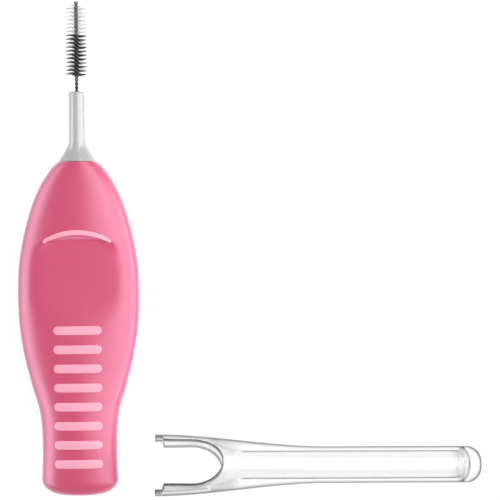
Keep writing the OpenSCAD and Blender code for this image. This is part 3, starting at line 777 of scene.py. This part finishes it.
filament = {"perTwist": 46, "width": 0.07, "tipShare": 0.8, "bend": 0.05, "bendShares": (0.4, 0.75),
            "wave": 0.09, "lean": 5, "lift": 2, "turn": 4, "shortestShare": 0.96, "steps": 6, "sides": 5,
            "darkSeed": 11, "paleSeed": 23, "seedSteps": (7, 19)}
tree, given = startTree("filamentField", {"Count": "Int", "Start": "Float", "Step": "Float",
                        "First angle": "Float", "Angle step": "Float", "Reach": "Float",
                        "Filament radius": "Float", "Tip share": "Float", "Bend": "Float",
                        "Lift": "Float", "Turn": "Float", "Shortest": "Float", "Seed": "Int",
                        "Wave": "Float", "Lean": "Float", "Rest height": "Float", "Material": "Material"})
lessReach, lessBend, lessLift, lessTurn = [
    addNode(tree, "ShaderNodeMath", {"operation": "MULTIPLY", 1: -1.0}, {0: given[size]})
    for size in ("Reach", "Bend", "Lift", "Turn")]

# One strand: a rod that bends a little down and up again, and thins towards its tip
end = addNode(tree, "ShaderNodeCombineXYZ", {}, {"X": given["Reach"]})
near, far = [addNode(tree, "ShaderNodeMath", {"operation": "MULTIPLY", 1: share}, {0: given["Reach"]})
             for share in filament["bendShares"]]
pointA = addNode(tree, "ShaderNodeCombineXYZ", {}, {"X": near.outputs[0], "Z": lessBend.outputs[0]})
pointB = addNode(tree, "ShaderNodeCombineXYZ", {}, {"X": far.outputs[0], "Z": given["Bend"]})
strand = addNode(tree, "GeometryNodeCurvePrimitiveBezierSegment", {
    "mode": "POSITION", "Resolution": filament["steps"], "Start": (0, 0, 0)}, {
    "Start Handle": pointA.outputs[0], "End Handle": pointB.outputs[0], "End": end.outputs[0]})
share = addNode(tree, "GeometryNodeSplineParameter")
taper = addNode(tree, "ShaderNodeMapRange", {"To Min": 1.0}, {"Value": share.outputs["Factor"],
                                                              "To Max": given["Tip share"]})
ring = addNode(tree, "GeometryNodeCurvePrimitiveCircle", {
    "mode": "RADIUS", "Resolution": filament["sides"]}, {"Radius": given["Filament radius"]})
rod = addNode(tree, "GeometryNodeCurveToMesh", {"Fill Caps": True}, {
    "Curve": strand.outputs[0], "Profile Curve": ring.outputs[0], "Scale": taper.outputs["Result"]})

# Copies along the wire, each turned on with the twist and straying a little in angle and length
first = addNode(tree, "ShaderNodeCombineXYZ", {}, {"Z": given["Start"]})
step = addNode(tree, "ShaderNodeCombineXYZ", {}, {"Z": given["Step"]})
line = addNode(tree, "GeometryNodeMeshLine", {}, {"Count": given["Count"], "Offset": step.outputs[0],
                                                  "Start Location": first.outputs[0]})
index = addNode(tree, "GeometryNodeInputIndex")
turned = addNode(tree, "ShaderNodeMath", {"operation": "MULTIPLY_ADD"}, {
    0: index.outputs[0], 1: given["Angle step"], 2: given["First angle"]})
stray = addNode(tree, "FunctionNodeRandomValue", {"data_type": "FLOAT"}, {
    2: lessTurn.outputs[0], 3: given["Turn"], "Seed": given["Seed"]})
angle = addNode(tree, "ShaderNodeMath", {"operation": "ADD"}, {0: turned.outputs[0], 1: stray.outputs[1]})
nextSeed, lastSeed = [addNode(tree, "ShaderNodeMath", {"operation": "ADD", 1: more}, {0: given["Seed"]})
                      for more in filament["seedSteps"]]
tilt = addNode(tree, "FunctionNodeRandomValue", {"data_type": "FLOAT"}, {
    2: lessLift.outputs[0], 3: given["Lift"], "Seed": nextSeed.outputs[0]})
facing = addNode(tree, "ShaderNodeCombineXYZ", {}, {"Y": tilt.outputs[1], "Z": angle.outputs[0]})
length = addNode(tree, "FunctionNodeRandomValue", {"data_type": "FLOAT", 3: 1.0}, {
    2: given["Shortest"], "Seed": lastSeed.outputs[0]})
size = addNode(tree, "ShaderNodeCombineXYZ", {"Y": 1.0, "Z": 1.0}, {"X": length.outputs[1]})
planted = addNode(tree, "GeometryNodeInstanceOnPoints", {}, {
    "Points": line.outputs[0], "Instance": rod.outputs[0], "Rotation": facing.outputs[0],
    "Scale": size.outputs[0]})
loose = addNode(tree, "GeometryNodeRealizeInstances", {}, {"Geometry": planted.outputs[0]})

# The field waves across the wire and leans, and then lies down on the brush's line
here = addNode(tree, "GeometryNodeInputPosition")
parts = addNode(tree, "ShaderNodeSeparateXYZ", {}, {0: here.outputs[0]})
phase = addNode(tree, "ShaderNodeMapRange", {"To Min": -math.pi, "To Max": math.pi}, {
    "Value": parts.outputs["X"], "From Max": given["Reach"], "From Min": lessReach.outputs[0]})
sway = addNode(tree, "ShaderNodeMath", {"operation": "SINE"}, {0: phase.outputs["Result"]})
dip = addNode(tree, "ShaderNodeMath", {"operation": "MULTIPLY"}, {0: sway.outputs[0], 1: given["Wave"]})
back = addNode(tree, "ShaderNodeMath", {"operation": "MULTIPLY"}, {0: parts.outputs["Y"], 1: given["Lean"]})
drop = addNode(tree, "ShaderNodeMath", {"operation": "SUBTRACT"}, {0: back.outputs[0], 1: dip.outputs[0]})
swayed = addNode(tree, "ShaderNodeCombineXYZ", {}, {"Z": drop.outputs[0]})
waved = addNode(tree, "GeometryNodeSetPosition", {}, {"Geometry": loose.outputs[0],
                                                      "Offset": swayed.outputs[0]})
stand = addNode(tree, "ShaderNodeCombineXYZ", {"Y": -restStation * mm}, {"Z": given["Rest height"]})
lying = addNode(tree, "GeometryNodeTransform", {"Rotation": (-math.pi / 2, 0, 0)}, {
    "Geometry": waved.outputs[0], "Translation": stand.outputs[0]})
endTree(tree, lying.outputs[0], given["Material"])


# Strands of one field: they leave by turns from one side and the other of the clamped band
def filamentField(name, start, length, material, node, seed):
    step = wire["pitch"] / filament["perTwist"]
    mesh = runTree(name, tree, {
        "Count": int(length / step), "Start": start * mm, "Step": step * mm,
        "First angle": twistAngle(start) + math.pi / 2, "Angle step": math.pi + twistAngle(darkStart + step),
        "Reach": brushHead["width"] / 2 * mm, "Filament radius": filament["width"] / 2 * mm,
        "Tip share": filament["tipShare"], "Bend": filament["bend"] * mm,
        "Lift": math.radians(filament["lift"]), "Turn": math.radians(filament["turn"]),
        "Shortest": filament["shortestShare"], "Seed": seed, "Wave": filament["wave"] * mm,
        "Lean": math.tan(math.radians(filament["lean"])), "Rest height": restHeight * mm,
        "Material": material})
    mesh.shade_smooth()
    return addPiece(name, mesh, None, "brush", [node])


filamentField("darkFilaments", darkStart, brushHead["darkLength"], darkNylon, "dark_bristles",
              filament["darkSeed"])
filamentField("paleFilaments", paleStart, brushHead["paleLength"], paleNylon, "pale_bristles",
              filament["paleSeed"])


# Travel cap: a clear tube that flares to a forked mouth

cap = {
    "length": 45, "width": 5.04, "mouthWidth": 8.5, "flareLength": 23.5, "wall": 0.55, "endWall": 1.65,
    "endRound": 2.0, "boreRadius": 1.95, "boreStart": 10.9, "funnelLength": 3, "boreRound": 1.7,
    "boreFlat": 0.2, "dimpleWidth": 1.2, "dimpleDepth": 0.3, "dimpleEdge": 0.06, "dimpleFlatShare": 0.4,
    "notchLength": 9.2, "notchWidth": 5.9, "rootLength": 4.2,
    "tabLength": 1.1, "tabStep": 0.7, "tabFlatShare": 0.7, "stepRun": 0.3,  # the mouth's narrow tabs
    "roll": 15,  # about its own line
    "edgeRound": 0.1, "edgeSegments": 3, "edgeAngle": 40, "smoothAngle": 180, "merge": 0.002,
    "columns": 48, "tabRings": 4, "stepRings": 10, "legRings": 18, "rootRings": 30, "flareRings": 30,
    "tubeRings": 12, "domeRings": 14, "funnelRings": 6, "boreRings": 30, "bottomRings": 12,
    "funnelPolish": 0.1, "bottomPolish": 0.1, "blastFade": 0.8,  # 1 is a full polish
    # the shifts and fade: how much sooner the painted grazing shade darkens the dome's rim and the bore's
    # bottom
    "domeShadeShift": 0.07, "domeShadeFade": 0.6, "bottomShadeShift": 0.12,  # how much sooner a place darkens
    "skinGap": 0.2, "farFromCut": 1, "cutPoints": 400,
}


# Radius of the outside at a distance from the mouth
def capOuter(z):
    flare = 1 - float(smoothStep(z / cap["flareLength"]))
    return (cap["width"] + (cap["mouthWidth"] - cap["width"]) * flare) / 2


# Radius of the inside: an even wall along the fork, a funnel, and then the straight bore
def capInner(z):
    forkEnd = cap["boreStart"] - cap["funnelLength"]
    if z <= forkEnd:
        return capOuter(z) - cap["wall"]
    share = min((z - forkEnd) / cap["funnelLength"], 1)
    return (capOuter(forkEnd) - cap["wall"]) * (1 - share) + cap["boreRadius"] * share


# Half width of the notch at a distance from the mouth
def notchHalf(z):
    half, root = cap["notchWidth"] / 2, cap["notchLength"] - cap["rootLength"]
    if z >= root:
        return half * math.sqrt(max(1 - ((z - root) / cap["rootLength"]) ** 2, 0))
    past = (z - cap["tabLength"]) / cap["stepRun"] + 0.5
    return half + cap["tabStep"] * (1 - float(smoothStep(past)))


# Evenly spaced values from just after low up to high
def spaced(low, high, steps):
    return np.linspace(low, high, steps + 1)[1:]


# Stations from the mouth to the notch's root, close together where the tab steps in
def forkStations():
    tab, run, root = cap["tabLength"], cap["stepRun"], cap["notchLength"] - cap["rootLength"]
    return [*np.linspace(0, tab * cap["tabFlatShare"], cap["tabRings"], endpoint=False),
            *np.linspace(tab - run * 2 / 3, tab + run * 2 / 3, cap["stepRings"] + 1),
            *np.linspace(tab + run, root, cap["legRings"], endpoint=False), root,
            *(root + cap["rootLength"] * np.sin(spaced(0, math.pi / 2, cap["rootRings"])))]


# Stations and radii of a round that starts at a station and closes in from a radius
def roundProfile(start, radius, size, turn, steps):
    return [(start + size * math.sin(a), radius - size * (1 - math.cos(a))) for a in spaced(0, turn, steps)]


# Stations and radii down the outside, from the mouth over the dome into the dimple
def outerProfile():
    dome, edge = cap["length"] - cap["endRound"], cap["dimpleEdge"]
    lip, floor = cap["dimpleWidth"] / 2, cap["length"] - cap["dimpleDepth"]
    tube = [*spaced(cap["notchLength"], cap["flareLength"], cap["flareRings"]),
            *spaced(cap["flareLength"], dome, cap["tubeRings"])]
    turn = math.acos(1 - (cap["width"] / 2 - lip - edge) / cap["endRound"])
    return ([(z, capOuter(z)) for z in forkStations() + tube]
            + roundProfile(dome, cap["width"] / 2, cap["endRound"], turn, cap["domeRings"])
            + [(cap["length"] - edge / 3, lip + edge / 3), (cap["length"] - edge, lip),
               (floor + edge * 4 / 3, lip - edge / 3), (floor, lip - edge * 2),
               (floor, lip * cap["dimpleFlatShare"]), (floor, 0)])


# The same down the inside: fork, funnel, straight bore and its round bottom
def innerProfile():
    bottom = cap["length"] - cap["endWall"]
    bend = bottom - cap["boreRound"]
    stations = forkStations() + [*spaced(cap["notchLength"], cap["boreStart"], cap["funnelRings"]),
                                 *spaced(cap["boreStart"], bend, cap["boreRings"])]
    return ([(z, capInner(z)) for z in stations]
            + roundProfile(bend, cap["boreRadius"], cap["boreRound"], math.pi / 2, cap["bottomRings"])
            + [(bottom, cap["boreFlat"]), (bottom, 0)])


# Two half shells, each with its outer and inner skin, the end of its wing and the notch's cheeks
def capMesh():
    outer, inner, forkCount = outerProfile(), innerProfile(), len(forkStations())
    columns, points, faces, matte = cap["columns"], [], [], set()
    for half in (0, math.pi):
        for profile in (outer, inner):
            base = len(points)
            for z, r in profile:  # the sweep narrows beside the notch
                reach = math.acos(min(notchHalf(z) / r, 1)) if z < cap["notchLength"] else math.pi / 2
                for k in range(columns + 1):
                    a = half + reach * (2 * k / columns - 1)
                    points.append((r * math.sin(a), r * math.cos(a), z))
            for i in range(len(profile) - 1):
                for k in range(columns):
                    a = base + i * (columns + 1) + k
                    faces.append((a, a + 1, a + columns + 2, a + columns + 1))
        shift = len(outer) * (columns + 1)
        base -= shift  # back to the outer skin's first point
        cut = len(faces)
        for k in range(columns):  # the end of the wing
            faces.append((base + k, base + k + 1, base + shift + k + 1, base + shift + k))
        for i in range(forkCount - 1):  # the notch's two cheeks
            for k in (0, columns):
                a, b = base + i * (columns + 1) + k, base + (i + 1) * (columns + 1) + k
                faces.append((a, b, b + shift, a + shift))
        matte.update(range(cut, len(faces)))
    mesh = meshFrom("travelCap", points, faces)
    mesh.materials.append(clearPolypropylene)
    mesh.materials.append(shutOffPolypropylene)
    mesh.polygons.foreach_set("material_index", [int(i in matte) for i in range(len(faces))])
    return cleanMesh(mesh, cap["smoothAngle"], cap["merge"])


# The mount in the record gives the bore's own line, which carries the whole cap
def capPlace():
    bore = next(m for m in frame["record"]["mounts"] if m["name"] == "cap_bore")
    out = Vector(bore["axis"]).normalized()
    mouth = Vector(bore["pos_m"]) + out * cap["boreStart"] * mm
    inward = -out
    yaw, tilt = math.atan2(inward.y, inward.x), math.asin(-inward.z)
    return (Matrix.Translation(mouth) @ Matrix.Rotation(yaw, 4, "Z") @ Matrix.Rotation(tilt, 4, "Y")
            @ Matrix.Rotation(-math.radians(cap["roll"]), 4, "X") @ Matrix.Rotation(math.pi / 2, 4, "Y"))


# Rounds the sharp edges of a mesh with a bevel of its first material, and gives back the plain result
def roundedMesh(mesh, width, angle):
    maker = addObject(mesh.name, mesh)
    bevel = maker.modifiers.new("edges", "BEVEL")
    bevel.width = width * mm
    bevel.segments = cap["edgeSegments"]
    bevel.limit_method = "ANGLE"
    bevel.angle_limit = math.radians(angle)
    bevel.material = 0
    bevel.harden_normals = True
    return plainMesh(maker)


# How polished a point is, and how much sooner the painted grazing shade darkens it: the tool's core is
# blasted where the bore opens and where it ends; the painted shade comes later where the bore opens,
# sooner at the bore's bottom, and sooner at the rim of the thick end dome
def skinFinish(point):
    along, r, fade = point.z / mm, math.hypot(point.x, point.y) / mm, cap["blastFade"]
    boreEnd = cap["length"] - cap["endWall"]
    if r > capInner(along) + cap["skinGap"] or along > boreEnd + cap["skinGap"] / 2:
        dome = float(smoothStep((along - cap["length"] + cap["endRound"]) / cap["domeShadeFade"]))
        return 1, cap["domeShadeShift"] * dome
    funnelMiddle = cap["boreStart"] - cap["funnelLength"] / 2
    opening = 1 - float(smoothStep((abs(along - funnelMiddle) - cap["funnelLength"] / 2) / fade))
    ending = float(smoothStep((along - boreEnd + cap["boreRound"]) / fade + 0.5))
    shine = (1 - (1 - cap["funnelPolish"]) * opening) * (1 - (1 - cap["bottomPolish"]) * ending)
    return shine, cap["bottomShadeShift"] * ending - opening


notchLine = np.array([(notchHalf(z), z) for z in np.linspace(0, cap["notchLength"], cap["cutPoints"])])


# How far a point lies from the notch and the mouth, in millimetres
def cutDistance(point):
    y, along = abs(point.y) / mm, point.z / mm
    if along > cap["notchLength"] + cap["farFromCut"]:
        return cap["farFromCut"]
    return min(float(np.hypot(notchLine[:, 0] - y, notchLine[:, 1] - along).min()), max(along, 0))


clearCap = roundedMesh(capMesh(), cap["edgeRound"], cap["edgeAngle"])
finishes = [(*skinFinish(v.co), cutDistance(v.co)) for v in clearCap.vertices]
for name, values in zip(("polish", "grazeShift", "cutDistance"), zip(*finishes)):
    clearCap.attributes.new(name, "FLOAT", "POINT").data.foreach_set("value", values)
clearCap.transform(capPlace())
addPiece("travelCap", clearCap, None, "cap", ["travel_cap"])


# Stage: white table, soft boxes left and right, a strip for the cap, camera straight above

stage = {"floorSize": 6000, "floorDrop": 0.02, "whiteShare": 0.88, "tableColour": "#EFEFEF",
         "tableGlow": 1.06, "roomGlow": 0.12, "skyGlow": 1.0, "skyThroughShare": 0.6}


# White paper: mostly an even glow to the eye, in gloss and through the clear cap, so that no shadow shows
def tableMaterial():
    material, tree = newMaterial("studioTable")
    rays = addNode(tree, "ShaderNodeLightPath")
    seen = addNode(tree, "ShaderNodeMath", {"operation": "MAXIMUM"}, {
        0: rays.outputs["Is Camera Ray"], 1: rays.outputs["Is Glossy Ray"]})
    seen = addNode(tree, "ShaderNodeMath", {"operation": "MAXIMUM"}, {
        0: seen.outputs[0], 1: rays.outputs["Is Transmission Ray"]})
    share = addNode(tree, "ShaderNodeMath", {"operation": "MULTIPLY", 1: stage["whiteShare"]},
                    {0: seen.outputs[0]})
    lit = addNode(tree, "ShaderNodeBsdfDiffuse", {"Color": linear(stage["tableColour"])})
    plain = addNode(tree, "ShaderNodeEmission", {"Strength": stage["tableGlow"]})
    both = addNode(tree, "ShaderNodeMixShader", {}, {0: share.outputs[0], 1: lit.outputs[0],
                                                     2: plain.outputs[0]})
    addNode(tree, "ShaderNodeOutputMaterial", {}, {"Surface": both.outputs[0]})
    return material


halfFloor = stage["floorSize"] / 2
floorMesh = meshFrom("studioFloor", [(x, y, -stage["floorDrop"]) for x, y in (
    (-halfFloor, -halfFloor), (halfFloor, -halfFloor), (halfFloor, halfFloor), (-halfFloor, halfFloor))],
    [(0, 1, 2, 3)])
floorMesh.materials.append(tableMaterial())
floor = addObject("studioFloor", floorMesh)

# Each soft box faces a point on the table from a compass side and a height above it, and along and across
# are its own sides
lights = {
    "rightLow": {"aim": (24, 22), "azimuth": 90, "elevation": 12, "distance": 320, "across": 113,
                 "along": 420, "glow": 4.8},
    "rightMiddle": {"aim": (24, 22), "azimuth": 90, "elevation": 33, "distance": 320, "across": 124,
                    "along": 420, "glow": 3.1},
    "rightHigh": {"aim": (24, 22), "azimuth": 90, "elevation": 54, "distance": 320, "across": 113,
                  "along": 420, "glow": 2.6},
    "leftBox": {"aim": (24, 22), "azimuth": 270, "elevation": 19, "distance": 320, "across": 196,
                "along": 420, "glow": 3.7},
    "capStrip": {"aim": (50, -8), "azimuth": 0, "elevation": 71, "distance": 120, "across": 144,
                 "along": 70, "glow": 2.4},
}
photo = {
    "pixels": 500, "pixelSize": 0.1381,
    "centre": (23.73, 21.56), "plane": 2.5,  # what lies in the middle, and the height that the scale is for
    "turn": -0.53,  # the brush stands this much off straight in the picture
    "lens": 150, "sensor": 36,
    "clipShares": (0.05, 40),
}
middle = Vector((photo["centre"][0], photo["centre"][1], photo["plane"])) * mm
for name, box in lights.items():
    around, rise = math.radians(box["azimuth"]), math.radians(box["elevation"])
    away = Vector((math.sin(around) * math.cos(rise), math.cos(around) * math.cos(rise), math.sin(rise)))
    lamp = bpy.data.lights.new(name, "AREA")
    lamp.shape = "RECTANGLE"
    lamp.size = box["along"] * mm
    lamp.size_y = box["across"] * mm
    lamp.energy = box["glow"] * math.pi * lamp.size * lamp.size_y  # the same brightness at any size
    softBox = addObject(name, lamp)
    softBox.location = Vector((*box["aim"], photo["plane"])) * mm + away * box["distance"] * mm
    softBox.rotation_euler = away.to_track_quat("Z", "Y").to_euler()
    softBox.visible_camera = False

# The world is white to the camera, partly so through the clear cap, and a dim studio to everything else
world = bpy.data.worlds.new("studio")
world.use_nodes = True
world.node_tree.nodes.clear()
rays = addNode(world.node_tree, "ShaderNodeLightPath")
room, white = [addNode(world.node_tree, "ShaderNodeBackground", {
    "Color": linear("#FFFFFF"), "Strength": stage[glow]}) for glow in ("roomGlow", "skyGlow")]
through = addNode(world.node_tree, "ShaderNodeMath", {"operation": "MULTIPLY", 1: stage["skyThroughShare"]},
                  {0: rays.outputs["Is Transmission Ray"]})
pale = addNode(world.node_tree, "ShaderNodeMath", {"operation": "MAXIMUM"}, {
    0: rays.outputs["Is Camera Ray"], 1: through.outputs[0]})
both = addNode(world.node_tree, "ShaderNodeMixShader", {}, {
    0: pale.outputs[0], 1: room.outputs[0], 2: white.outputs[0]})
addNode(world.node_tree, "ShaderNodeOutputWorld", {}, {"Surface": both.outputs[0]})
bpy.context.scene.world = world

view = bpy.data.cameras.new("photoCamera")
view.lens = photo["lens"]
view.sensor_width = photo["sensor"]
distance = photo["pixels"] * photo["pixelSize"] * mm * photo["lens"] / photo["sensor"]
view.clip_start, view.clip_end = [share * distance for share in photo["clipShares"]]
camera = addObject("photoCamera", view)
camera.location = middle + Vector((0, 0, distance))
camera.rotation_euler = (0, 0, math.radians(photo["turn"]))
bpy.context.scene.camera = camera

bpy.context.scene.view_settings.view_transform = "Standard"
print("stage set")
